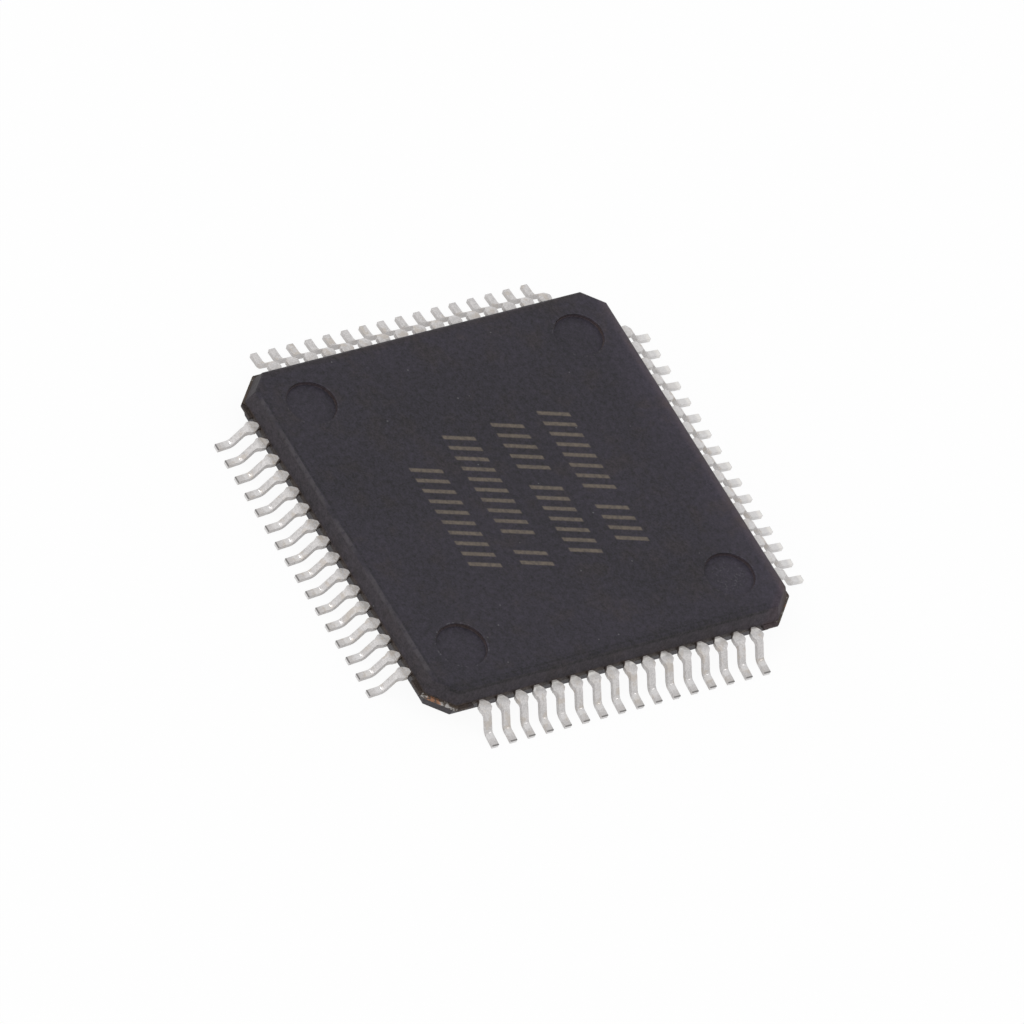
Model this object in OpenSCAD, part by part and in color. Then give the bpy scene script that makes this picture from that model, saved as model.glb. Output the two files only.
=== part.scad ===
// Thin quad flat package: a moulded body with gull-wing leads on four sides, a die on a
// down-set heat-sink pad that shows underneath, and bond wires from the die to the leads.
// Frame: origin at the centre of the seating plane, +Z up, +X along the first row of leads.

/* [Leads] */
// Number of leads on each side
leads_per_side = 16; // [8:2:24]
// Distance between lead centres
pitch = 0.5; // [0.4:0.05:0.8]
// Width of a lead from its first bend to its toe
lead_w = 0.17; // [0.12:0.01:0.24]
// Thickness of the lead-frame sheet
sheet_t = 0.11; // [0.09:0.01:0.15]
// Distance from the body's edge to the end of the toe
lead_reach = 1; // [0.9:0.05:1.4]
// Flat length of the lead outside the body before its first bend
shoulder_flat = 0.21; // [0.12:0.01:0.3]
// Width of the shoulder left where the dam bar was cut away
shoulder_w = 0.31; // [0.25:0.01:0.34]
// Width of the lead where it leaves the body
root_w = 0.16; // [0.12:0.01:0.2]
// Steepness of the lead between its two bends, in degrees
lead_slope = 56; // [50:1:80]
// Downward tilt of the foot towards its toe, in degrees
foot_tilt = 6; // [0:1:7]
// Bend radius at the middle of the sheet
bend_r = 0.2; // [0.12:0.01:0.22]

/* [Body] */
// Thickness of the moulding
body_h = 0.95; // [0.85:0.05:1.4]
// Gap between the seating plane and the underside of the moulding
standoff = 0.06; // [0.05:0.01:0.15]
// Distance from the last lead's centre to the body's edge
row_margin = 1.25; // [1.1:0.05:1.8]
// Draft of the side walls, in degrees from upright
side_draft = 19; // [5:1:22]
// Chamfer of the corners, measured along the side
corner_cut = 0.55; // [0.4:0.05:0.7]
// Rounding of the top and bottom edges
edge_r = 0.08; // [0.02:0.01:0.1]

/* [Corner flash] */
// How far the thin resin left round the corners stands out of the side walls
flash_side = 0.1; // [0.05:0.01:0.12]
// How far it stands out of the chamfers
flash_corner = 0.04; // [0.03:0.01:0.08]
// Thickness of that resin
flash_t = 0.07; // [0.05:0.01:0.09]
// Gap between it and the shoulder of the nearest lead
flash_gap = 0.1; // [0.05:0.01:0.15]

/* [Top marks] */
// Diameter of the round recesses in the top
mark_d = 1.25; // [0.8:0.05:1.6]
// Depth of the round recesses
mark_depth = 0.08; // [0.03:0.01:0.12]
// Distance from the body's edge to the centre of a recess
mark_inset = 1.3; // [1.2:0.05:2]

/* [Heat-sink pad] */
// Side of the square pad that shows underneath
pad_w = 5.5; // [5:0.1:6]
// Width of the tie bars from the pad to the corners
tie_w = 0.45; // [0.3:0.05:0.5]
// Width of the tie bars' heads, which were cut off at the corners
tie_head_w = 0.9; // [0.6:0.05:0.95]
// Length of a head
tie_head_l = 0.3; // [0.2:0.05:0.5]
// How far a cut head stands out of the resin at its corner
tie_stub = 0.01; // [0.005:0.005:0.03]
// Steepness of the tie bar's step down to the pad, in degrees
tie_slope = 45; // [40:1:60]

/* [Die] */
// Length of the die along X
die_x = 4.4; // [3.6:0.1:4.8]
// Width of the die along Y
die_y = 4; // [3.6:0.1:4.8]
// Thickness of the die
die_t = 0.25; // [0.15:0.01:0.3]
// Thickness of the adhesive under the die
attach_t = 0.025; // [0.015:0.005:0.04]
// How far the adhesive spreads past the die
attach_margin = 0.1; // [0.05:0.01:0.15]

/* [Bond wires] */
// Thickness of a wire
wire_t = 0.03; // [0.02:0.005:0.04]
// Height of the loop above the lead that the wire lands on
loop_h = 0.16; // [0.12:0.01:0.2]
// Radius of the bend at the top of the loop
loop_r = 0.09; // [0.06:0.01:0.12]
// Distance from the die's edge to the centre of a bond
bond_inset = 0.12; // [0.08:0.01:0.2]
// Diameter of the bond where the wire starts
bond_d = 0.07; // [0.06:0.01:0.09]
// Height of that bond
bond_h = 0.02; // [0.015:0.005:0.03]

/* [Inner leads] */
// Distance from the pad's edge to the tips of the inner leads, seen from above
tip_gap = 0.7; // [0.5:0.05:0.9]
// Distance between the centres of the tips
tip_pitch = 0.35; // [0.28:0.01:0.36]
// Width of a tip, along the row
tip_w = 0.2; // [0.16:0.01:0.22]
// Straight length of the inner lead behind the body's edge
inner_straight = 0.4; // [0.3:0.05:0.6]
// Distance from a tip to the place where its wire lands
stitch_inset = 0.16; // [0.14:0.01:0.25]

/* [Hidden] */

// Flats in one bend of a strip, in a wire's loop, in one rounded edge of the body and around a recess
bend_steps = 8;
loop_steps = 5;
edge_steps = 4;
round_steps = 96;
// Extra length of a cut beyond the surface that it leaves
overcut = 0.5;

// The shoulder widens and narrows again over these distances from the body's edge
shoulder_start = 0.15;
shoulder_end = shoulder_start + shoulder_flat/2;
shoulder_neck = 0.1;

row_half = (leads_per_side - 1)*pitch/2;
edge = row_half + row_margin;
corner_half = (2*edge - corner_cut)/sqrt(2);
body_top = standoff + body_h;
sheet_z = standoff + body_h/2;
sheet_low = sheet_z - sheet_t/2;
sheet_top = sheet_z + sheet_t/2;
pad_z = standoff + sheet_t/2;
attach_low = standoff + sheet_t;
die_low = attach_low + attach_t;
die_top = die_low + die_t;
tip_at = pad_w/2 + tip_gap;
fan = tip_pitch/pitch;

plastic = [0.235, 0.227, 0.26];
tin = [0.79, 0.78, 0.77];
copper = [0.76, 0.54, 0.42];
silver_epoxy = [0.7, 0.7, 0.68];
silicon = [0.42, 0.44, 0.5];
gold = [0.86, 0.7, 0.36];

function lead_x(i) = i*pitch - row_half;

// Share of the pitch that is left at distance y from the middle, where the inner leads fan in
function fan_at(y) = fan + (1 - fan)*(y - tip_at)/(edge - inner_straight - tip_at);

// Points of a strip's middle line as [distance, height, downward slope]: flat at z_high, an arc down
// to the slope, a straight run, and an arc back to the tilt that reaches z_low at the far end.
function strip_line(start, flat, reach, z_high, z_low, slope, tilt, r) =
    let (arc_u = r*(sin(slope) - sin(tilt)))
    let (arc_z = r*(cos(tilt) - cos(slope)))
    let (knee_u = flat + r*sin(slope))
    let (knee_z = z_high - r*(1 - cos(slope)))
    let (drop = knee_z - arc_z - z_low - (reach - knee_u - arc_u)*tan(tilt))
    let (run = drop/(sin(slope) - cos(slope)*tan(tilt)))
    let (heel_u = knee_u + run*cos(slope))
    let (heel_z = knee_z - run*sin(slope))
    concat(
        [[start, z_high, 0]],
        [for (j = [0:bend_steps]) let (a = slope*j/bend_steps)
            [flat + r*sin(a), z_high - r*(1 - cos(a)), a]],
        [for (j = [0:bend_steps]) let (a = slope + (tilt - slope)*j/bend_steps)
            [heel_u + r*(sin(slope) - sin(a)), heel_z - r*(cos(a) - cos(slope)), a]],
        [[reach, z_low, tilt]]);

// One side of a strip of thickness t: side is 1 for the upper face and -1 for the lower one
function strip_face(line, t, side) =
    [for (p = line) [p[0] + side*t/2*sin(p[2]), p[1] + side*t/2*cos(p[2])]];

function reversed(points) = [for (k = [len(points) - 1:-1:0]) points[k]];

function strip_outline(line, t) = concat(strip_face(line, t, 1), reversed(strip_face(line, t, -1)));

// Half of the body's section from bottom to top, for a wall that lies at half from the middle
function wall(half) =
    let (lean = (sheet_low - standoff)*tan(side_draft))
    let (centre = half - lean - edge_r*tan((90 - side_draft)/2))
    concat(
        [for (j = [0:edge_steps]) let (a = -90 + (90 - side_draft)*j/edge_steps)
            [centre + edge_r*cos(a), standoff + edge_r + edge_r*sin(a)]],
        [[half, sheet_low], [half, sheet_top]],
        [for (j = [0:edge_steps]) let (a = side_draft + (90 - side_draft)*j/edge_steps)
            [centre + edge_r*cos(a), body_top - edge_r + edge_r*sin(a)]]);

// Half of a lead's outline seen from above: half width, distance from the middle, share of the pitch
lead_outline = [
    [tip_w/2, tip_at, fan],
    [root_w/2, edge - inner_straight, 1],
    [root_w/2, edge, 1],
    [shoulder_w/2, edge + shoulder_start, 1],
    [shoulder_w/2, edge + shoulder_end, 1],
    [lead_w/2, edge + shoulder_end + shoulder_neck, 1],
    [lead_w/2, edge + lead_reach + overcut, 1]];

function lead_plan(x) = concat(
    [for (p = lead_outline) [x*p[2] + p[0], p[1]]],
    reversed([for (p = lead_outline) [x*p[2] - p[0], p[1]]]));

// Turns what is drawn for a side that faces +Y to side 0 (-Y), 1 (+X), 2 (+Y) or 3 (-X)
module on_side(side) rotate([0, 0, 180 + 90*side]) children();

// Prism whose section is drawn as [distance along +Y, height], centred across X
module across(width) translate([-width/2, 0, 0]) rotate([90, 0, 90]) linear_extrude(width) children();

// Slab with the body's section between two opposite walls, turned about Z
module slab(half, turn)
    rotate([0, 0, turn])
        across(4*edge)
            polygon(concat(wall(half), reversed([for (p = wall(half)) [-p[0], p[1]]])));

module lead_row(side)
    on_side(side)
        intersection() {
            translate([0, edge, 0])
                across(2*edge)
                    polygon(strip_outline(strip_line(-edge, shoulder_flat,
                        lead_reach - sheet_t/2*sin(foot_tilt), sheet_z, sheet_t/2*cos(foot_tilt),
                        lead_slope, foot_tilt, bend_r), sheet_t));
            linear_extrude(body_top)
                for (i = [0:leads_per_side - 1])
                    polygon(lead_plan(lead_x(i)));
        }

// Tie bar from the pad's corner up to the body's corner, along +Y. Its step ends where the pad is as
// wide as the bar, so that only the square pad shows underneath.
tie_end = corner_half + flash_corner + tie_stub;
tie_foot = tie_end - pad_w/sqrt(2) + tie_w/2;
tie_reach = tie_foot + tie_w;
tie_drop = sheet_z - pad_z - 2*bend_r*(1 - cos(tie_slope));
tie_step = 2*bend_r*sin(tie_slope) + tie_drop/tan(tie_slope);

module tie_bar()
    translate([0, tie_end, 0])
        rotate([0, 0, 180])
            across(tie_w)
                polygon(strip_outline(strip_line(0, tie_foot - tie_step, tie_reach,
                    sheet_z, pad_z, tie_slope, 0, bend_r), sheet_t));

module tie_head()
    translate([-tie_head_w/2, tie_end - tie_head_l, sheet_low])
        cube([tie_head_w, tie_head_l, sheet_t]);

// Wire from a bond on the die to a lead: straight up, round the loop and down to the lead
module bond_wire(from, to) {
    length = norm(to - from);
    hub_z = sheet_top + loop_h - loop_r;
    fall = atan2(hub_z - sheet_top, length - loop_r)
        + asin(loop_r/norm([length - loop_r, hub_z - sheet_top]));
    landing = wire_t/2/sin(fall);
    loop = concat([[0, die_top, -90]],
        [for (j = [0:loop_steps]) let (a = -90 + (90 + fall)*j/loop_steps)
            [loop_r + loop_r*sin(a), hub_z + loop_r*cos(a), a]]);
    translate([from[0], from[1], 0])
        rotate([0, 0, atan2(to[1] - from[1], to[0] - from[0]) - 90]) {
            across(wire_t)
                polygon(concat(strip_face(loop, wire_t, 1),
                    [[length + landing, sheet_top], [length - landing, sheet_top]],
                    reversed(strip_face(loop, wire_t, -1))));
            translate([0, 0, die_top])
                cylinder(d = bond_d, h = bond_h, $fn = round_steps);
        }
}

module wire_row(side) {
    along = (side%2 == 0 ? die_x : die_y)/2 - 2*bond_inset;
    out = (side%2 == 0 ? die_y : die_x)/2 - bond_inset;
    stitch = tip_at + stitch_inset;
    on_side(side)
        for (i = [0:leads_per_side - 1])
            bond_wire([lead_x(i)*along/row_half, out], [lead_x(i)*fan_at(stitch), stitch]);
}

module leads_1_to_16() color(tin) lead_row(0);

module leads_17_to_32() color(tin) lead_row(1);

module leads_33_to_48() color(tin) lead_row(2);

module leads_49_to_64() color(tin) lead_row(3);

module bond_wires_1_to_16() color(gold) wire_row(0);

module bond_wires_17_to_32() color(gold) wire_row(1);

module bond_wires_33_to_48() color(gold) wire_row(2);

module bond_wires_49_to_64() color(gold) wire_row(3);

module die_pad()
    color(copper) {
        translate([-pad_w/2, -pad_w/2, standoff])
            cube([pad_w, pad_w, sheet_t]);
        for (k = [0:3])
            rotate([0, 0, 45 + 90*k]) {
                tie_bar();
                tie_head();
            }
    }

module die_attach()
    color(silver_epoxy)
        translate([-die_x/2 - attach_margin, -die_y/2 - attach_margin, attach_low])
            cube([die_x + 2*attach_margin, die_y + 2*attach_margin, attach_t]);

module die()
    color(silicon)
        translate([-die_x/2, -die_y/2, die_low])
            cube([die_x, die_y, die_t]);

// Thin resin that was squeezed out at the lead plane, from the last lead of one row to the next row
module corner_flash() {
    start = row_half + shoulder_w/2 + flash_gap;
    reach = edge + flash_side;
    turn = sqrt(2)*(corner_half + flash_corner) - reach;
    root = edge - inner_straight;
    translate([0, 0, sheet_z - flash_t/2])
        linear_extrude(flash_t)
            polygon([[start, root], [start, reach], [turn, reach],
                [reach, turn], [reach, start], [root, start]]);
}

// Moulding round the lead frame, the die and the wires, with a round recess near each corner of its top
module body()
    color(plastic)
        difference() {
            union() {
                intersection() {
                    slab(edge, 0);
                    slab(edge, 90);
                    slab(corner_half, 45);
                    slab(corner_half, 135);
                }
                for (k = [0:3])
                    rotate([0, 0, 90*k])
                        corner_flash();
            }
            for (x = [-1, 1], y = [-1, 1])
                translate([x*(edge - mark_inset), y*(edge - mark_inset), body_top - mark_depth])
                    cylinder(d = mark_d, h = mark_depth + overcut, $fn = round_steps);
            for (side = [0:3]) {
                lead_row(side);
                wire_row(side);
            }
            die_pad();
            die_attach();
            die();
        }

body();
leads_1_to_16();
leads_17_to_32();
leads_33_to_48();
leads_49_to_64();
die_pad();
die_attach();
die();
bond_wires_1_to_16();
bond_wires_17_to_32();
bond_wires_33_to_48();
bond_wires_49_to_64();
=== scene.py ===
"""Looks of a thin square chip: dark moulded body, rows of tin-plated gull-wing leads, heat-sink pad."""

from math import cos, radians, sin

import bmesh
import bpy
from bpy.props import FloatProperty, FloatVectorProperty, PointerProperty
from bpy.types import Operator, Panel, PropertyGroup
from mathutils import Matrix, Vector


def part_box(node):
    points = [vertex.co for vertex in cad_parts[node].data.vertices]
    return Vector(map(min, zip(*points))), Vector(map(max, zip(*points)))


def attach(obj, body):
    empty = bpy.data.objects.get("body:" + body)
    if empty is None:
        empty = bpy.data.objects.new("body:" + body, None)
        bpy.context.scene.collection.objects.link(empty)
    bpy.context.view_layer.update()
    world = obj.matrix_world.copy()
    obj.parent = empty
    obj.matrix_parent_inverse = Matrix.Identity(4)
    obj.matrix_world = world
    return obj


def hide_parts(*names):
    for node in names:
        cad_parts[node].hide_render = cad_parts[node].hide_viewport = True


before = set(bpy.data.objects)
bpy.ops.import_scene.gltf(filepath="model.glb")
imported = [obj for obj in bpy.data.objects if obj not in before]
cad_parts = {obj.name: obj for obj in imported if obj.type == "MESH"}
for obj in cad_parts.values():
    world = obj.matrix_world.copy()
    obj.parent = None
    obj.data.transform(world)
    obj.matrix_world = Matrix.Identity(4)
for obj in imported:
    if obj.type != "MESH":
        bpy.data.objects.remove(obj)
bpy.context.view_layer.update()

bl_info = {
    "name": "Leaded Chip",
    "version": (1, 0, 0),
    "blender": (4, 5, 0),
    "location": "View3D > Sidebar > Chip",
    "description": "Finishes the moulding, leads and pad of a square chip and sets its stage",
    "category": "Object",
}

MM = 0.001

LEAD_ROWS = ("leads_1_to_16", "leads_17_to_32", "leads_33_to_48", "leads_49_to_64")
WIRE_ROWS = tuple(row.replace("leads", "bond_wires") for row in LEAD_ROWS)

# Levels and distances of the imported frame, in millimetres from the middle of the seating plane
BODY_LOW, BODY_HIGH = (Vector(corner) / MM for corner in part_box("body"))
BODY_TOP = BODY_HIGH.z
SHEET_MIDDLE = (BODY_LOW.z + BODY_TOP) / 2
LEAD_PITCH = 0.5
LEAD_REACH = 1.0
BODY_EDGE = -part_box(LEAD_ROWS[0])[0][1] / MM - LEAD_REACH
TOP_EDGE = BODY_EDGE - 0.2
PAD_EDGE = 2.75
RECESS_AT = BODY_EDGE - 1.3
RECESS_R = 0.625
RECESS_DEPTH = 0.08

# The cut corners lie where the distances along X and Y add up to this
CORNER_AT = 2 * BODY_EDGE - 0.55

# Where a mask rises towards a wall of the body, a row of leads or the recess of one corner
WALL = (4.2, 4.5)
ROW = (4.5, 5.5)
ONE_RECESS = (5.0, 6.0)

# Marking: level of each bar's middle with the bar's first and last step, and the sizes of bars and strokes
BARS = ((1.9, -6, 2), (1.9, 3, 7), (0.62, -6, -1), (0.62, 0, 7), (-0.72, -6, 4), (-0.72, 5, 7),
        (-1.98, -4, 6))
BAR_HALF = 0.38
STROKE_STEP = 0.32
STROKE_HALF = 0.055
STROKE_SLANT = 0.35

# Rounding of the leads: what counts as one point, as flat and as an edge, and where it starts
MERGE_MM = 0.0001
FLAT_ANGLE = radians(1)
EDGE_ANGLE = radians(25)
ROUNDED_FROM = BODY_EDGE - 0.5

# Face attribute of the leads that is 1 on their sheared sides
SIDES = "sheared_sides"

# Stage: share of white in the floor where it is seen, and width of the camera's sensor
FLOOR_GLOW = 0.94
SENSOR_MM = 36.0

# Sockets of a Mix node that hold colours
MIX_COLOURS = (6, 7)
MIX_RESULT = 2


class Sock:
    """An output socket, so that shader maths on single values reads as plain expressions."""

    def __init__(self, tree, socket):
        self.tree = tree
        self.socket = socket

    def math(self, operation, first, second=0.0):
        return self.tree.node("ShaderNodeMath", {"operation": operation}, {0: first, 1: second})

    def __add__(self, other):
        return self.math("ADD", self, other)

    __radd__ = __add__

    def __sub__(self, other):
        return self.math("SUBTRACT", self, other)

    def __rsub__(self, other):
        return self.math("SUBTRACT", other, self)

    def __mul__(self, other):
        return self.math("MULTIPLY", self, other)

    __rmul__ = __mul__

    def __abs__(self):
        return self.math("ABSOLUTE", self)

    def least(self, other):
        return self.math("MINIMUM", self, other)

    def most(self, other):
        return self.math("MAXIMUM", self, other)

    def centred(self, step):
        """Distance from the middle of the step that a value falls in."""
        return self.math("FLOORED_MODULO", self, step) - step / 2

    def rise(self, low, high):
        """0 below low, 1 above high and a smooth step between them; turned round if low is above high."""
        return self.tree.node("ShaderNodeMapRange", {"interpolation_type": "SMOOTHSTEP"},
                              {"Value": self, "From Min": low, "From Max": high}, "Result")

    def within(self, low, high, soft):
        """1 between low and high, falling to 0 over the width soft outside them."""
        return self.rise(low - soft, low) * self.rise(high + soft, high)

    def output(self, name):
        """Another output of the same node."""
        return Sock(self.tree, self.socket.node.outputs[name])


class Finish:
    """A material's or world's tree of nodes."""

    def __init__(self, owner):
        owner.use_nodes = True
        self.nodes = owner.node_tree.nodes
        self.links = owner.node_tree.links
        self.nodes.clear()

    def node(self, kind, settings=None, sockets=None, output=0):
        """Adds a node, sets it up, fills its sockets with values or links and gives one output back."""
        made = self.nodes.new(kind)
        for name, value in (settings or {}).items():
            setattr(made, name, value)
        for name, value in (sockets or {}).items():
            if isinstance(value, Sock):
                self.links.new(value.socket, made.inputs[name])
            else:
                made.inputs[name].default_value = value
        return Sock(self, made.outputs[output]) if made.outputs else None

    def place(self):
        """Object coordinates in millimetres."""
        return self.node("ShaderNodeVectorMath", {"operation": "SCALE"},
                         {0: self.node("ShaderNodeTexCoord", output="Object"), "Scale": 1 / MM})

    def parts(self, vector):
        """The three values of a vector."""
        split = self.node("ShaderNodeSeparateXYZ", None, {0: vector})
        return [split.output(axis) for axis in "XYZ"]

    def joined(self, x, y, z):
        """A vector from three values."""
        return self.node("ShaderNodeCombineXYZ", None, {0: x, 1: y, 2: z})

    def noise(self, vector, scale, detail=2.0, roughness=0.5):
        """Cloudy values of about 0 to 1, with the scale in cells to a millimetre."""
        return self.node("ShaderNodeTexNoise", None,
                         {"Vector": vector, "Scale": scale, "Detail": detail, "Roughness": roughness})

    def specks(self, vector, scale, size, share):
        """Round specks of the given size in a share of the cells of a grid."""
        cells = self.node("ShaderNodeTexVoronoi", None, {"Vector": vector, "Scale": scale}, "Distance")
        draw = self.parts(cells.output("Color"))[0]
        return cells.rise(size * scale, size * scale * 0.4) * draw.rise(1 - share, 1 - share * 0.9)

    def mix(self, factor, first, second, blend="MIX"):
        """A colour between two colours, each of them a link or three values."""
        ends = [end if isinstance(end, Sock) else (*end, 1.0) for end in (first, second)]
        return self.node("ShaderNodeMix", {"data_type": "RGBA", "blend_type": blend},
                         {"Factor": factor, **dict(zip(MIX_COLOURS, ends))}, MIX_RESULT)

    def bump(self, height, depth):
        """Normal of a surface with a relief; height runs over about 0 to 1 and depth is in metres."""
        return self.node("ShaderNodeBump", None, {"Height": height, "Distance": depth})

    def surface(self, **sockets):
        """Ends the tree in a Principled shader."""
        named = {name.replace("_", " ").title().replace("Ior", "IOR"): value
                 for name, value in sockets.items()}
        shader = self.node("ShaderNodeBsdfPrincipled", None, named)
        self.node("ShaderNodeOutputMaterial", {"target": "ALL"}, {"Surface": shader})


class Plan:
    """Millimetre coordinates of the chip, with masks that rise towards its sides and corners.

    The front is towards -Y and the right towards +X, and the near corner lies between these two.
    """

    def __init__(self, tree):
        self.place = tree.place()
        self.x, self.y, self.z = tree.parts(self.place)
        self.out = abs(self.x).most(abs(self.y))

    def front(self, start, end):
        return self.y.rise(-start, -end)

    def far(self, start, end):
        return self.y.rise(start, end)

    def left(self, start, end):
        return self.x.rise(-start, -end)

    def right(self, start, end):
        return self.x.rise(start, end)

    def near_corner(self, start, end):
        return (self.x - self.y).rise(start, end)

    def right_corner(self, start, end):
        return (self.x + self.y).rise(start, end)

    def corners(self, start, end):
        return (abs(self.x) + abs(self.y)).rise(start, end)


class MouldPlan(Plan):
    """Places on the moulding: its walls, its torn right corner and the recesses in its top."""

    def __init__(self, tree):
        super().__init__(tree)
        self.depth = BODY_TOP - self.z
        self.top = self.depth.rise(0.02, 0.01)
        self.outside = self.out.rise(TOP_EDGE - 0.35, TOP_EDGE - 0.25)
        # Mask of the top's far edge, where light is painted.
        self.far_edge_light = self.far(TOP_EDGE - 0.22, TOP_EDGE)
        self.torn = self.right_corner(CORNER_AT - 0.55, CORNER_AT - 0.3)
        self.mark_recesses()

    def mark_recesses(self):
        """Masks by the square of the distance from the middle of the nearest recess."""
        recess_x, recess_y = abs(self.x) - RECESS_AT, abs(self.y) - RECESS_AT
        self.from_recess = recess_x * recess_x + recess_y * recess_y
        bottom = RECESS_DEPTH + 0.01
        self.recess_wall = self.from_recess.within(0.37, 0.4, 0.02) * self.depth.within(0.02, bottom, 0.012)
        self.recess_floor = self.from_recess.rise(0.36, 0.33)
        self.recess_floor = self.recess_floor * self.depth.within(bottom - 0.02, bottom, 0.02)
        self.ring = self.from_recess.within(RECESS_R ** 2, (RECESS_R + 0.03) ** 2, 0.02)
        self.ring = self.ring * self.depth.rise(0.03, 0.02)
        self.far_ring = self.ring * (recess_y * (2 * self.far(-0.1, 0.1) - 1)).rise(0.2, 0.5)


class LeadPlan(Plan):
    """Places on the leads: how far beyond the body, across one lead, and in which row."""

    def __init__(self, tree):
        super().__init__(tree)
        self.beyond = self.out - BODY_EDGE
        self.along_row = abs(self.x).least(abs(self.y))
        self.on_y_rows = (abs(self.y) - abs(self.x)).rise(-0.1, 0.1)
        self.across = (self.x * self.on_y_rows + self.y * (1 - self.on_y_rows)).centred(LEAD_PITCH)
        self.front_row = self.front(*ROW)
        self.right_row = self.right(*ROW)
        self.far_row = self.far(*ROW)
        self.near_rows = self.front_row.most(self.right_row)


def grey(value):
    return (value, value, value, 1.0)


def coat(piece, material):
    """Gives a piece one material all over."""
    piece.data.materials.clear()
    piece.data.materials.append(material)


# Finish of the moulded body

def mould_finish(looks):
    """Dark epoxy with mould grain, painted light on the walls, a worn rim with a painted highlight, hatched
    bars and brown resin at the leads.
    """
    material = bpy.data.materials.new("mould_compound")
    tree = Finish(material)
    plan = MouldPlan(tree)
    cells = MM / looks.grain
    grain = tree.noise(plan.place, cells, 3.0, 0.6)
    tone = mould_tone(tree, plan, grain, tree.noise(plan.place, 0.35 * cells, 2.0, 0.6))

    colour = stained_epoxy(tree, plan, looks)
    colour = tree.mix(1.0, colour, tree.joined(tone, tone, tone), "MULTIPLY")
    for add in (worn_and_lit_edges, flaked_parting, light_dust, hatched_bars):
        colour = add(tree, plan, looks, colour)

    rough = looks.roughness + 0.12 * (grain - 0.5) + 0.25 * plan.torn
    relief = grain + 0.5 * tree.noise(plan.place, 0.3 * cells)
    tree.surface(base_color=colour, roughness=rough, specular_ior_level=looks.specular,
                 normal=tree.bump(relief, looks.grain_depth))
    return material


def mould_tone(tree, plan, grain, patches):
    """Lightness of the epoxy: grain and clouds, a torn corner, a lighter far part of the rings round the
    recesses, and painted light and shade: a lighter top towards its edges and far side, a lighter far edge,
    lighter recess walls and floors, shade on the right rim and a shade line inside the near top edges.
    """
    clouds = tree.noise(plan.place, 0.45, 4.0)
    flaws = tree.noise(plan.place, 5.5, 4.0, 0.7)
    # Painted light on the top's far edge.
    far_edge_light = plan.far_edge_light * plan.depth.rise(0.06, 0.03)
    # Painted shade on the rounded rim of the right side.
    right_rim_shade = plan.depth.within(-0.01, 0.1, 0.06) + 1.1 * plan.depth.within(0.065, 0.1, 0.03)
    right_rim_shade = right_rim_shade * plan.right(TOP_EDGE - 0.3, TOP_EDGE) * (1 - plan.torn)
    # Painted shade: a dark line just inside the front and right top edges.
    edge_shade_line = plan.out.within(TOP_EDGE - 0.06, TOP_EDGE - 0.035, 0.025) * plan.top
    edge_shade_line = edge_shade_line * plan.front(*WALL).most(plan.right(*WALL))
    # Painted light on the recess floors, most in the right recess.
    recess_floor = plan.recess_floor * (1 + plan.right_corner(*ONE_RECESS))

    tone = 0.97 + 2.6 * (grain - 0.5) + 1.7 * (patches - 0.5) + 0.9 * (clouds - 0.5)
    # Painted light: the top gets lighter towards its edges, the far side and the right-back corner.
    tone = tone + 0.12 * plan.out.rise(TOP_EDGE - 1.4, TOP_EDGE)
    tone = tone + 0.42 * plan.far(TOP_EDGE - 1.3, TOP_EDGE + 0.1) + 0.22 * plan.right_corner(7.6, 8.7)
    tone = tone + plan.torn * (0.7 + 3.5 * (flaws - 0.5))
    tone = tone + 1.2 * far_edge_light - 0.3 * right_rim_shade - 0.25 * edge_shade_line
    # Painted light: lighter recess walls and recess floors; the far part of each ring round a recess is
    # lighter too.
    tone = tone + 1.4 * plan.recess_wall + 0.16 * recess_floor + 0.25 * plan.far_ring
    return tone.most(0.2)


def stained_epoxy(tree, plan, looks):
    """Epoxy with painted light on the walls and the recess walls, warm stains that are partly painted light
    on the far and left edges, and brown resin along the lead plane.
    """
    # Painted light: the side walls get a lighter colour than the top.
    walls = plan.depth.rise(0.02, 0.06) * plan.outside
    colour = tree.mix(walls, looks.colour, looks.lit_wall_colour)
    stains = tree.noise(plan.place, 1.3, 4.0, 0.65).rise(0.48, 0.68) + 0.8 * plan.torn
    # Warm, lighter stains on the left and far edges, partly painted light.
    stains = stains + plan.left(TOP_EDGE - 0.2, TOP_EDGE) + plan.far_edge_light
    # No stains on the recess floors; the recess walls get a lighter, warmer colour, which is painted light.
    stains = stains * (1 - plan.recess_floor) + 1.5 * plan.recess_wall
    colour = tree.mix(stains * 0.4, colour, looks.stain_colour)
    resin = abs(plan.z - SHEET_MIDDLE).rise(0.11, 0.05) * tree.noise(plan.place, 3.5).rise(0.2, 0.5)
    return tree.mix(resin * (1 - 0.7 * plan.right_corner(6.0, 9.0)), colour, looks.resin_colour)


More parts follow.
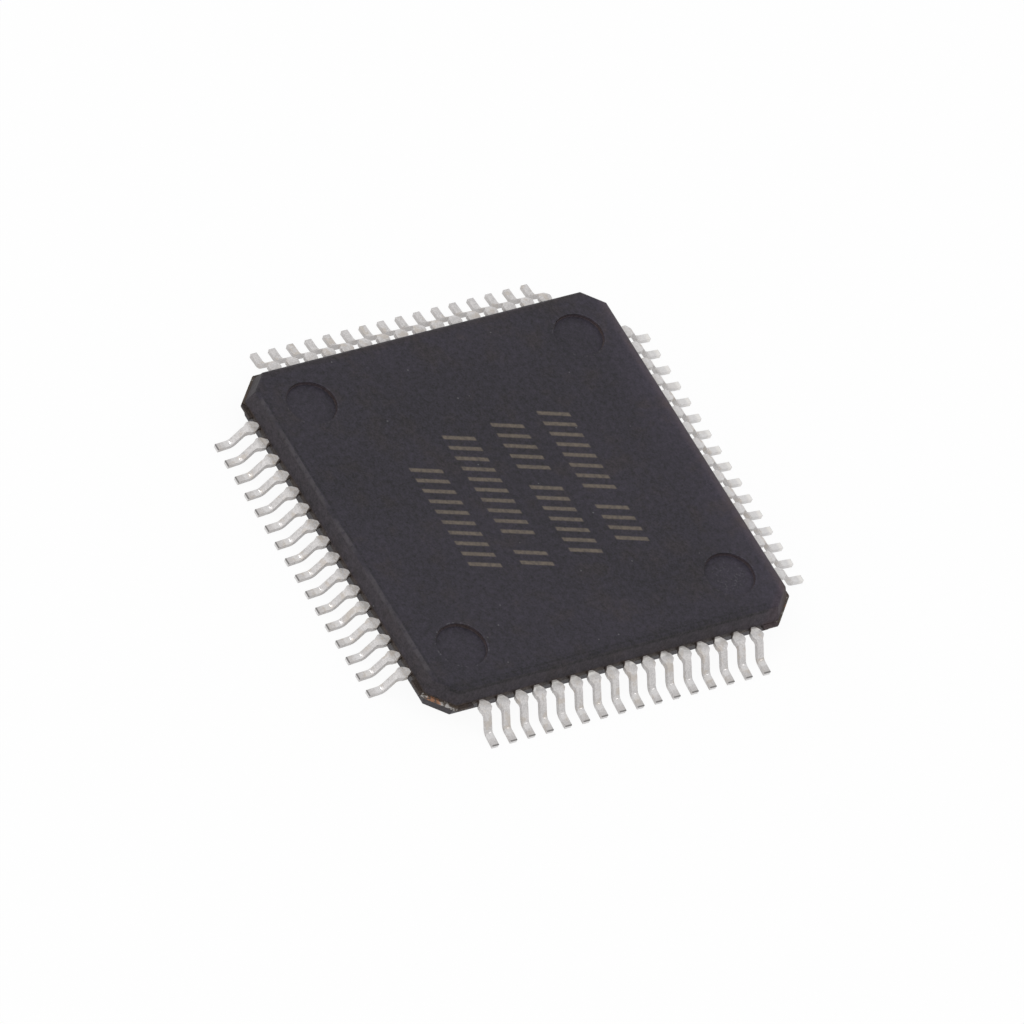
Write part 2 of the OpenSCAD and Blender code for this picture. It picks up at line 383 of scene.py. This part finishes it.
def worn_and_lit_edges(tree, plan, looks, colour):
    """Pale worn rim of the top, and a pale line above the cut heads at the left corners, both partly
    painted highlight.
    """
    sides = plan.front(*WALL).most(0.8 * plan.far(*WALL)).most(0.7 * plan.left(*WALL))
    sides = sides.most(0.12 * plan.right(*WALL)) * plan.corners(CORNER_AT - 0.4, CORNER_AT - 0.55)
    # Painted highlight, partly real wear: a pale line on the rounded top rim, strongest at the front and
    # weakest on the right.
    rim = plan.out.rise(TOP_EDGE - 0.015, TOP_EDGE + 0.01) * plan.depth.rise(0.09, 0.03) * sides
    # Painted highlight, partly real wear: a pale line on the chamfers of the left corners.
    chamfer = plan.corners(CORNER_AT - 0.25, CORNER_AT - 0.15) * plan.left(4.0, 4.4)
    chamfer_scuff_and_highlight = chamfer * (plan.z - SHEET_MIDDLE).within(0.08, 0.12, 0.03)
    wear_and_highlight = tree.noise(plan.place, 1.4, 3.0).rise(0.25, 0.6)
    wear_and_highlight = wear_and_highlight * tree.noise(plan.place, 6.0, 4.0, 0.7).rise(0.3, 0.56)
    return tree.mix(rim.most(chamfer_scuff_and_highlight) * wear_and_highlight * 0.6, colour, looks.worn_and_lit_rim)


def flaked_parting(tree, plan, looks, colour):
    """Brown resin on the parting line, with paler flakes, most of them on the right side."""
    parting = abs(plan.z - SHEET_MIDDLE + 0.04).rise(0.07, 0.03) * plan.outside
    colour = tree.mix(parting * 0.5, colour, looks.resin_colour)
    flakes = parting * tree.noise(plan.place, 11.0, 4.0, 0.7).rise(0.5, 0.6)
    flakes = flakes * tree.noise(plan.place, 2.2).rise(0.3, 0.7)
    flakes = flakes * (0.6 + 1.4 * plan.right(TOP_EDGE - 0.3, TOP_EDGE + 0.1))
    return tree.mix(flakes, colour, looks.flake_colour)


def light_dust(tree, plan, looks, colour):
    """Small light specks, broken rings round the recesses and scuffs in the right recess."""
    dust = tree.specks(plan.place, scale=2.6, size=0.03, share=0.45)
    ring = plan.ring * tree.noise(plan.place, 13.0).rise(0.52, 0.66)
    ring = ring * (0.3 + 0.4 * plan.near_corner(*ONE_RECESS))
    scuffs = plan.from_recess.rise(0.24, 0.12) * plan.right_corner(*ONE_RECESS) * plan.depth.rise(0.2, 0.15)
    scuffs = scuffs * tree.noise(plan.place, 17.0, 3.0).rise(0.56, 0.66)
    return tree.mix(dust.most(ring).most(scuffs * 0.45) * 0.35, colour, looks.dust_colour)


def hatched_bars(tree, plan, looks, colour):
    """Laser marking of plain bars, each filled with slanted strokes, in rows on the middle of the top."""
    soft, end_soft = 0.025, 0.01
    bars = 0.0
    for middle, first, last in BARS:
        level = plan.y - middle
        shifted = plan.x - STROKE_SLANT * level
        strokes = abs(shifted.centred(STROKE_STEP)).rise(STROKE_HALF + soft, STROKE_HALF - soft)
        strokes = strokes * shifted.within(first * STROKE_STEP, last * STROKE_STEP, end_soft)
        bars = strokes * abs(level).rise(BAR_HALF + soft, BAR_HALF - soft) + bars
    burn = (0.1 + 1.4 * tree.noise(plan.place, 11.0, 3.0)).least(1.0)
    return tree.mix(bars * plan.top * burn, colour, looks.print_colour)


# Finish of the leads

def tin_finish(looks):
    """Matte tin plating with burnished heels, filmed roots under crept resin, dark cut toes, and painted
    light and shade along the rows.
    """
    material = bpy.data.materials.new("tin_plate")
    tree = Finish(material)
    lead = LeadPlan(tree)
    batch = tree.noise(lead.place, 2.6)
    tarnish = tree.noise(lead.place, 3.6, 3.0, 0.6)
    mottle = tree.noise(lead.place, 45.0, 3.0, 0.6)
    root = lead.beyond.rise(0.17, 0.1)
    heel = lead.beyond.within(0.635, 0.675, 0.03) * lead.z.rise(0.1, 0.13)
    burnish = heel * abs(lead.across).rise(0.06, 0.04)
    toe, lip = cut_toe(lead)
    crept = crept_resin(lead, tarnish)

    colour = stained_tin(tree, lead, looks, batch, tarnish)
    colour = painted_row_light(tree, lead, looks, colour)
    # Film on the roots: on the front and left rows a darker tin, on the right and far rows a near-white
    # colour that is painted light against the shade of the body wall.
    film = tree.mix(lead.right_corner(-4.0, 4.0) * tarnish.rise(0.7, 0.4), looks.shade, looks.root_film_and_light)
    colour = tree.mix(root * (0.35 + 0.7 * batch) * (1 - 0.8 * lead.front_row), colour, film)
    colour = scored_root(tree, lead, looks, colour)
    # The pale lip under the cut: partly tin smear, partly painted light thrown up from the floor.
    colour = tree.mix(lip * 0.7, colour, looks.pale)
    colour = tree.mix(toe, colour, looks.cut_colour)
    colour = tree.mix(crept, colour, looks.resin_colour)

    rough = looks.roughness + 0.12 * (mottle - 0.5) + 0.15 * toe - 0.28 * burnish
    tree.surface(base_color=colour, metallic=(0.45 + 0.55 * heel - 0.35 * root) * (1 - crept),
                 roughness=rough, normal=tree.bump(mottle, looks.relief))
    return material


def cut_toe(lead):
    """Masks of the dark cut high on a toe, wider on the near rows, and of the pale lip below it, partly tin
    smear and partly painted light.
    """
    cut = lead.near_rows * lead.beyond.rise(LEAD_REACH - 0.04, LEAD_REACH - 0.015)
    cut = cut.most(lead.beyond.rise(LEAD_REACH - 0.007, LEAD_REACH - 0.001))
    lip = lead.beyond.rise(LEAD_REACH - 0.024, LEAD_REACH - 0.012)
    return cut * lead.z.rise(0.07, 0.1), lip * lead.z.rise(0.1, 0.07)


def crept_resin(lead, tarnish):
    """Mask of the resin that crept over the edges of the roots, and across them on the right row."""
    ragged = tarnish - 0.5
    one_sided = 0.012 + 0.048 * lead.across.rise(-0.06, 0.06)
    covered = lead.beyond - 0.022 * lead.right_row - lead.front_row * one_sided
    edges = (abs(lead.across) - 0.055 - 0.8 * covered + 0.06 * ragged).rise(-0.012, 0.012)
    across = (lead.beyond + 0.05 * ragged).rise(0.058, 0.03) * lead.right_row
    return (edges * covered.rise(0.11, 0.09)).most(across)


def stained_tin(tree, lead, looks, batch, tarnish):
    """Plating with drawn lines, blotches, pits and warm tarnish."""
    drawn = tree.noise(tree.joined(lead.along_row * 40, lead.beyond * 5, lead.on_y_rows * 9), 1.0, 3.0)
    blotch = tree.noise(lead.place, 16.0, 3.0, 0.65)
    pits = tree.noise(lead.place, 26.0, 2.0, 0.6)
    stain = 0.3 * drawn + 0.35 * blotch + 0.35 * batch + 1.1 * (pits - 0.5)
    colour = tree.mix(stain.rise(0.38, 0.62), looks.colour, looks.shade)
    return tree.mix(tarnish.rise(0.5, 0.62) * 0.5, colour, looks.tarnish)


def painted_row_light(tree, lead, looks, colour):
    """Painted light and shade, row by row: lighter and darker stretches of the plating, and painted shade
    on the sheared sides.
    """
    shoulder = lead.beyond.within(0.12, 0.2, 0.05)
    neck = lead.beyond.within(0.27, 0.34, 0.04)
    flats = lead.beyond.rise(0.34, 0.26).most(lead.beyond.rise(0.66, 0.74))
    foot_start = lead.beyond.within(0.7, 0.77, 0.06)
    foot_end = lead.beyond.rise(0.8, 0.95)
    far_foot_end = lead.beyond.rise(0.84, 0.95)

    # Painted light on the flats of the far row and on its toes.
    colour = tree.mix(0.6 * lead.far_row * flats, colour, looks.pale)
    colour = tree.mix(0.6 * lead.far_row * far_foot_end, colour, looks.root_film_and_light)
    # Painted light where the feet of the near rows start and on the shoulders of the right row.
    painted_light = 0.55 * lead.near_rows * foot_start + 0.35 * lead.right_row * shoulder
    colour = tree.mix(painted_light, colour, looks.pale)
    # Painted shade towards the toes of the near rows and on the necks of the front row.
    shaded = 0.6 * lead.near_rows * foot_end + 0.25 * lead.front_row * neck
    colour = tree.mix(shaded, colour, looks.shaded_tin)
    # Painted shade on the sheared sides, least on the far and right rows.
    sides = tree.node("ShaderNodeAttribute", {"attribute_name": SIDES}, output="Fac").rise(0.45, 0.85)
    return tree.mix(sides * (0.5 - 0.4 * lead.far_row.most(lead.right_row)), colour, looks.shaded_tin)


def scored_root(tree, lead, looks, colour):
    """Score marks, smears and the fold where the dam bar was cut off."""
    marks = tree.joined(lead.along_row * 12, lead.beyond * 30, lead.on_y_rows * 4)
    scored = tree.noise(marks, 1.0).rise(0.48, 0.56) * lead.beyond.within(0.05, 0.2, 0.03)
    colour = tree.mix(scored * (0.1 + 0.9 * lead.front_row) * 0.7, colour, looks.tarnish)
    smear = lead.beyond.rise(0.2, 0.12) * tree.noise(lead.place, 5.0, 3.0).rise(0.52, 0.66)
    fold = lead.beyond.within(0.14, 0.16, 0.015) * lead.front_row
    return tree.mix((smear * 0.35).most(fold * 0.15), colour, looks.cut_colour)


# Finishes of the pad and of the pieces inside

def pad_finish(looks):
    """Tin over copper, with bare copper and brown resin film on the cut heads of the tie bars."""
    material = bpy.data.materials.new("pad_copper")
    tree = Finish(material)
    plan = Plan(tree)
    x, y, z = plan.x, plan.y, plan.z
    mottle = tree.noise(plan.place, 30.0, 3.0, 0.6)
    clouds = tree.noise(plan.place, 1.2, 3.0)
    wander = tree.noise(plan.place, 9.0, 3.0) - 0.5
    brushed = tree.noise(tree.joined(x * 0.7 + y * 0.2, y * 14 - x * 4, z), 1.0, 4.0, 0.6)
    head = plan.corners(CORNER_AT - 0.15, CORNER_AT - 0.05)
    along = (abs(x) - abs(y)) * 0.5 ** 0.5 + 0.25 * wander
    bare = head * along.within(-0.26, 0.0, 0.08)
    bleed = (plan.out + 0.12 * wander).rise(PAD_EDGE - 0.11, PAD_EDGE - 0.01) * z.rise(0.2, 0.1)
    film = (head * head_film(tree, plan, along, wander)).most(bleed * 0.6)

    colour = tree.mix(0.5 * clouds + brushed - 0.25, looks.tin, looks.tin_shade)
    copper = tree.mix(mottle.rise(0.3, 0.7), looks.copper, looks.copper_shade)
    colour = tree.mix(bare, colour, copper)
    colour = tree.mix(film, colour, looks.film_colour)
    tree.surface(base_color=colour, metallic=1 - 0.85 * film, roughness=0.34 + 0.3 * brushed,
                 normal=tree.bump(brushed + 0.5 * mottle, 0.002 * MM))
    return material


def head_film(tree, plan, along, wander):
    """Mask of the broken resin film on a cut head, which leaves a strip clear at the near corner."""
    breaks = tree.noise(plan.place, 11.0, 3.0)
    level = plan.z - SHEET_MIDDLE + 0.12 * wander
    wide = along.within(-0.3, 0.18, 0.12)
    strip = level.within(-0.01 - 0.045 * wide, 0.01 + 0.035 * wide, 0.03) * breaks.rise(0.36, 0.54)
    near = plan.right(-1.0, 1.0) * plan.front(-1.0, 1.0)
    return (1 - 0.75 * near * strip) * (1 - 0.7 * breaks.rise(0.6, 0.7))


def grained_finish(name, colour, shade, scale, metallic, roughness, depth):
    """A finish of two tones with a fine grain, for the pieces inside the moulding."""
    material = bpy.data.materials.new(name)
    tree = Finish(material)
    grain = tree.noise(tree.place(), scale, 3.0)
    tree.surface(base_color=tree.mix(grain.rise(0.35, 0.65), colour, shade),
                 metallic=metallic, roughness=roughness + 0.2 * (grain - 0.5),
                 normal=tree.bump(grain, depth))
    return material


# Sizes and colours that a user would change

class ChipMould(PropertyGroup):
    colour: FloatVectorProperty(name="Colour", description="Colour of the epoxy", subtype="COLOR",
                                size=3, default=(0.0186, 0.0153, 0.0239))
    # Painted light: the side walls are lighter than the top.
    lit_wall_colour: FloatVectorProperty(name="Walls", description="Colour of the slightly lighter side walls",
                                     subtype="COLOR", size=3, default=(0.0265, 0.0215, 0.0272))
    # Warm stains; the same colour is painted light on the far and left edges and the recess walls.
    stain_colour: FloatVectorProperty(name="Stains", description="Warm stains on the moulding",
                                      subtype="COLOR", size=3, default=(0.0245, 0.0175, 0.0165))
    # Worn rim of the top, with a painted highlight on it.
    worn_and_lit_rim: FloatVectorProperty(name="Rim", description="Worn edge of the top", subtype="COLOR",
                                    size=3, default=(0.07, 0.062, 0.068))
    resin_colour: FloatVectorProperty(name="Resin", description="Brown resin along the lead plane",
                                      subtype="COLOR", size=3, default=(0.036, 0.025, 0.02))
    flake_colour: FloatVectorProperty(name="Flakes", description="Flaked resin along the parting line",
                                      subtype="COLOR", size=3, default=(0.105, 0.082, 0.07))
    dust_colour: FloatVectorProperty(name="Dust", description="Colour of the small light specks",
                                     subtype="COLOR", size=3, default=(0.2, 0.2, 0.21))
    print_colour: FloatVectorProperty(name="Print", description="Colour of the laser marking",
                                      subtype="COLOR", size=3, default=(0.13, 0.105, 0.082))
    roughness: FloatProperty(name="Roughness", description="Roughness of the moulded surface",
                             subtype="FACTOR", min=0.0, max=1.0, default=0.62)
    specular: FloatProperty(name="Specular level", description="Strength of the plain reflection",
                            subtype="FACTOR", min=0.0, max=1.0, default=0.4)
    grain: FloatProperty(name="Grain", description="Size of the mould grain", unit="LENGTH",
                         default=0.045 * MM)
    grain_depth: FloatProperty(name="Grain depth", description="Depth of the mould grain", unit="LENGTH",
                               default=0.008 * MM)


class ChipLeads(PropertyGroup):
    colour: FloatVectorProperty(name="Tin", description="Colour of the plating", subtype="COLOR",
                                size=3, default=(0.69, 0.668, 0.662))
    shade: FloatVectorProperty(name="Tin shade", description="Darker tone of the plating",
                               subtype="COLOR", size=3, default=(0.57, 0.552, 0.546))
    # Painted light on the plating, and the pale lip under the cut toes.
    pale: FloatVectorProperty(name="Pale tin", description="Fresher stretches of the plating",
                              subtype="COLOR", size=3, default=(0.8, 0.79, 0.79))
    # Painted shade on the sheared sides and along the rows.
    shaded_tin: FloatVectorProperty(name="Sides", description="Sheared sides and dulled stretches",
                                     subtype="COLOR", size=3, default=(0.5, 0.48, 0.47))
    # Pale film at the roots and far toes, mostly painted light.
    root_film_and_light: FloatVectorProperty(name="Roots", description="Pale film at the roots and far toes",
                                     subtype="COLOR", size=3, default=(0.95, 0.93, 0.89))
    tarnish: FloatVectorProperty(name="Tarnish", description="Warm stains on the plating", subtype="COLOR",
                                 size=3, default=(0.52, 0.455, 0.385))
    resin_colour: FloatVectorProperty(name="Resin", description="Resin that crept over the roots",
                                      subtype="COLOR", size=3, default=(0.08, 0.062, 0.054))
    cut_colour: FloatVectorProperty(name="Cut", description="Colour of the cut toes", subtype="COLOR",
                                    size=3, default=(0.22, 0.21, 0.205))
    roughness: FloatProperty(name="Roughness", description="Roughness of the plating",
                             subtype="FACTOR", min=0.0, max=1.0, default=0.5)
    rounding: FloatProperty(name="Edge rounding", description="Rounding of the edges", unit="LENGTH",
                            default=0.01 * MM)
    relief: FloatProperty(name="Relief", description="Depth of the plating's grain", unit="LENGTH",
                          default=0.0015 * MM)


class ChipPad(PropertyGroup):
    tin: FloatVectorProperty(name="Tin", description="Plating of the pad", subtype="COLOR",
                             size=3, default=(0.6, 0.585, 0.57))
    tin_shade: FloatVectorProperty(name="Tin shade", description="Darker tone of the plating",
                                   subtype="COLOR", size=3, default=(0.43, 0.42, 0.41))
    copper: FloatVectorProperty(name="Copper", description="Bare copper of the cut ends",
                                subtype="COLOR", size=3, default=(0.5, 0.24, 0.13))
    copper_shade: FloatVectorProperty(name="Copper shade", description="Tarnished copper",
                                      subtype="COLOR", size=3, default=(0.26, 0.13, 0.08))
    film_colour: FloatVectorProperty(name="Film", description="Brown resin film on the cut heads",
                                     subtype="COLOR", size=3, default=(0.06, 0.043, 0.031))


class ChipStage(PropertyGroup):
    azimuth: FloatProperty(name="Azimuth", description="Turn of the camera from the first row of leads",
                           subtype="ANGLE", default=radians(42.551))
    elevation: FloatProperty(name="Elevation", description="Height of the camera above the floor",
                             subtype="ANGLE", default=radians(47.234))
    roll: FloatProperty(name="Roll", description="Turn of the camera about its own axis",
                        subtype="ANGLE", default=radians(24.05))
    distance: FloatProperty(name="Distance", description="From the point looked at to the camera",
                            unit="LENGTH", default=416.83 * MM)
    target: FloatVectorProperty(name="Target", description="Point on the floor that the camera looks at",
                                subtype="TRANSLATION", size=3, default=(-0.0703 * MM, 0.1267 * MM, 0.0))
    lens: FloatProperty(name="Lens", description="Focal length, for the width of the sensor",
                        unit="CAMERA", default=631.51)
    floor_size: FloatProperty(name="Floor", description="Half of the floor's side", unit="LENGTH",
                              default=0.6)
    sky: FloatProperty(name="Sky", description="Strength of the even light from all round",
                       default=0.86)


# Pieces

def find(*wanted):
    """Objects of the named CAD nodes."""
    missing = [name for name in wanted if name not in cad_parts]
    if missing:
        raise RuntimeError(f"the frame has no node {missing}")
    return [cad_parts[name] for name in wanted]


def rounded_copy(node, name, rounding, along_row):
    """A copy of a row with its triangles merged, its outer edges rounded and its sheared sides noted."""
    shape = bmesh.new()
    shape.from_mesh(node.data)
    bmesh.ops.scale(shape, vec=(1 / MM,) * 3, verts=shape.verts)
    bmesh.ops.remove_doubles(shape, verts=shape.verts, dist=MERGE_MM)
    bmesh.ops.dissolve_limit(shape, angle_limit=FLAT_ANGLE, verts=shape.verts, edges=shape.edges,
                             use_dissolve_boundaries=False)
    outer = [edge for edge in shape.edges
             if edge.is_manifold and edge.calc_face_angle() > EDGE_ANGLE
             and min(max(abs(vert.co.x), abs(vert.co.y)) for vert in edge.verts) > ROUNDED_FROM]
    bmesh.ops.bevel(shape, geom=outer, offset=rounding / MM, offset_type="OFFSET", affect="EDGES",
                    segments=2, profile=0.5, material=-1, clamp_overlap=True)
    bmesh.ops.scale(shape, vec=(MM,) * 3, verts=shape.verts)
    sides = shape.faces.layers.float.new(SIDES)
    for face in shape.faces:
        face.smooth = True
        face[sides] = abs(face.normal.dot(along_row))
    piece = added(name, shape)
    even = piece.modifiers.new("even_shading", "WEIGHTED_NORMAL")
    even.weight = 80
    even.keep_sharp = False
    return piece


def added(name, shape):
    """Makes a bmesh an object of the scene."""
    mesh = bpy.data.meshes.new(name)
    shape.to_mesh(mesh)
    shape.free()
    piece = bpy.data.objects.new(name, mesh)
    bpy.context.scene.collection.objects.link(piece)
    return piece


class CHIP_OT_mould(Operator):
    """Finishes the moulded body"""
    bl_idname = "chip.mould"
    bl_label = "Moulded body"

    def execute(self, context):
        body, = find("body")
        coat(body, mould_finish(context.scene.chip_mould))
        return {"FINISHED"}


class CHIP_OT_leads(Operator):
    """Makes the four rows of leads with rounded edges and tin plating"""
    bl_idname = "chip.leads"
    bl_label = "Rows of leads"

    def execute(self, context):
        looks = context.scene.chip_leads
        tin = tin_finish(looks)
        for turn, (name, node) in enumerate(zip(LEAD_ROWS, find(*LEAD_ROWS))):
            along_row = Vector((1, 0, 0)) if turn % 2 == 0 else Vector((0, 1, 0))
            row = rounded_copy(node, "plated_" + name, looks.rounding, along_row)
            coat(row, tin)
            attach(row, "root")
            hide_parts(name)
        return {"FINISHED"}


class CHIP_OT_pad(Operator):
    """Finishes the heat-sink pad and its tie bars"""
    bl_idname = "chip.pad"
    bl_label = "Heat-sink pad"

    def execute(self, context):
        pad, = find("die_pad")
        coat(pad, pad_finish(context.scene.chip_pad))
        return {"FINISHED"}


class CHIP_OT_inside(Operator):
    """Finishes the die, its adhesive and the bond wires"""
    bl_idname = "chip.inside"
    bl_label = "Die and wires"

    def execute(self, context):
        die, adhesive, *wires = find("die", "die_attach", *WIRE_ROWS)
        coat(die, grained_finish("silicon", (0.15, 0.16, 0.2), (0.11, 0.12, 0.16), scale=6.0,
                                 metallic=0.3, roughness=0.25, depth=0.0005 * MM))
        coat(adhesive, grained_finish("die_adhesive", (0.55, 0.55, 0.53), (0.42, 0.42, 0.4), scale=40.0,
                                      metallic=0.6, roughness=0.5, depth=0.003 * MM))
        gold = grained_finish("gold_wire", (0.75, 0.5, 0.15), (0.66, 0.43, 0.12), scale=60.0,
                              metallic=1.0, roughness=0.25, depth=0.0005 * MM)
        for row in wires:
            coat(row, gold)
        return {"FINISHED"}


class CHIP_OT_stage(Operator):
    """Sets the floor, the soft light and the camera"""
    bl_idname = "chip.stage"
    bl_label = "Stage"

    def execute(self, context):
        stage = context.scene.chip_stage
        context.scene.view_settings.view_transform = "Standard"
        self.lay_floor(stage)
        self.light_sky(context.scene, stage)
        self.hang_lamp("front_light", (-0.12, -0.45, 0.3), size=0.3, power=0.28)
        self.hang_lamp("left_light", (-0.25, -0.21, 0.44), size=0.1, power=0.17)
        self.hang_lamp("right_light", (0.22, 0.275, 0.42), size=0.1, power=0.06)
        self.aim_camera(context.scene, stage)
        return {"FINISHED"}

    def lay_floor(self, stage):
        """A white floor that glows where it is seen or mirrored, and takes a shadow."""
        shape = bmesh.new()
        bmesh.ops.create_grid(shape, x_segments=1, y_segments=1, size=stage.floor_size)
        floor = added("floor", shape)
        material = bpy.data.materials.new("white_floor")
        tree = Finish(material)
        rays = tree.node("ShaderNodeLightPath", output="Is Camera Ray")
        seen = rays.most(rays.output("Is Glossy Ray")).most(rays.output("Is Transmission Ray"))
        paper = tree.node("ShaderNodeBsdfDiffuse", None, {"Color": grey(0.9)})
        glow = tree.node("ShaderNodeEmission", None, {"Color": grey(1.0), "Strength": 1.0})
        both = tree.node("ShaderNodeMixShader", None, {0: seen * FLOOR_GLOW, 1: paper, 2: glow})
        tree.node("ShaderNodeOutputMaterial", None, {"Surface": both})
        coat(floor, material)

    def light_sky(self, scene, stage):
        world = bpy.data.worlds.new("soft_sky")
        tree = Finish(world)
        sky = tree.node("ShaderNodeBackground", None, {"Color": grey(1.0), "Strength": stage.sky})
        tree.node("ShaderNodeOutputWorld", None, {"Surface": sky})
        scene.world = world

    def hang_lamp(self, name, place, size, power):
        """A square soft lamp that faces the chip."""
        light = bpy.data.lights.new(name, "AREA")
        light.shape = "SQUARE"
        light.size = size
        light.energy = power
        lamp = bpy.data.objects.new(name, light)
        lamp.location = place
        lamp.rotation_euler = Vector(place).to_track_quat("Z", "Y").to_euler()
        bpy.context.scene.collection.objects.link(lamp)

    def aim_camera(self, scene, stage):
        """The photograph's camera, turned about its own axis."""
        lens = bpy.data.cameras.new("camera")
        lens.sensor_width = SENSOR_MM
        lens.lens = stage.lens
        camera = bpy.data.objects.new("camera", lens)
        level = cos(stage.elevation)
        towards = Vector((level * sin(stage.azimuth), -level * cos(stage.azimuth), sin(stage.elevation)))
        camera.location = Vector(stage.target) + stage.distance * towards
        turned = towards.to_track_quat("Z", "Y").to_matrix() @ Matrix.Rotation(stage.roll, 3, "Z")
        camera.rotation_euler = turned.to_euler()
        scene.collection.objects.link(camera)
        scene.camera = camera


class CHIP_PT_panel(Panel):
    """Lists the chip's pieces and their settings"""
    bl_idname = "CHIP_PT_panel"
    bl_label = "Chip"
    bl_space_type = "VIEW_3D"
    bl_region_type = "UI"
    bl_category = "Chip"

    def draw(self, context):
        for operator, group in STEPS:
            self.layout.operator(operator.bl_idname)
            if group:
                for name in SETTINGS[group].__annotations__:
                    self.layout.prop(getattr(context.scene, group), name)


SETTINGS = {"chip_mould": ChipMould, "chip_leads": ChipLeads, "chip_pad": ChipPad, "chip_stage": ChipStage}
STEPS = ((CHIP_OT_mould, "chip_mould"), (CHIP_OT_leads, "chip_leads"), (CHIP_OT_pad, "chip_pad"),
         (CHIP_OT_inside, None), (CHIP_OT_stage, "chip_stage"))
CLASSES = (*SETTINGS.values(), *(operator for operator, _ in STEPS), CHIP_PT_panel)


def register():
    for part in CLASSES:
        bpy.utils.register_class(part)
    for name, group in SETTINGS.items():
        setattr(bpy.types.Scene, name, PointerProperty(type=group))


def unregister():
    for name in SETTINGS:
        delattr(bpy.types.Scene, name)
    for part in reversed(CLASSES):
        bpy.utils.unregister_class(part)


def main():
    register()
    bpy.ops.chip.mould()
    bpy.ops.chip.leads()
    bpy.ops.chip.pad()
    bpy.ops.chip.inside()
    bpy.ops.chip.stage()


if __name__ == "__main__":
    main()
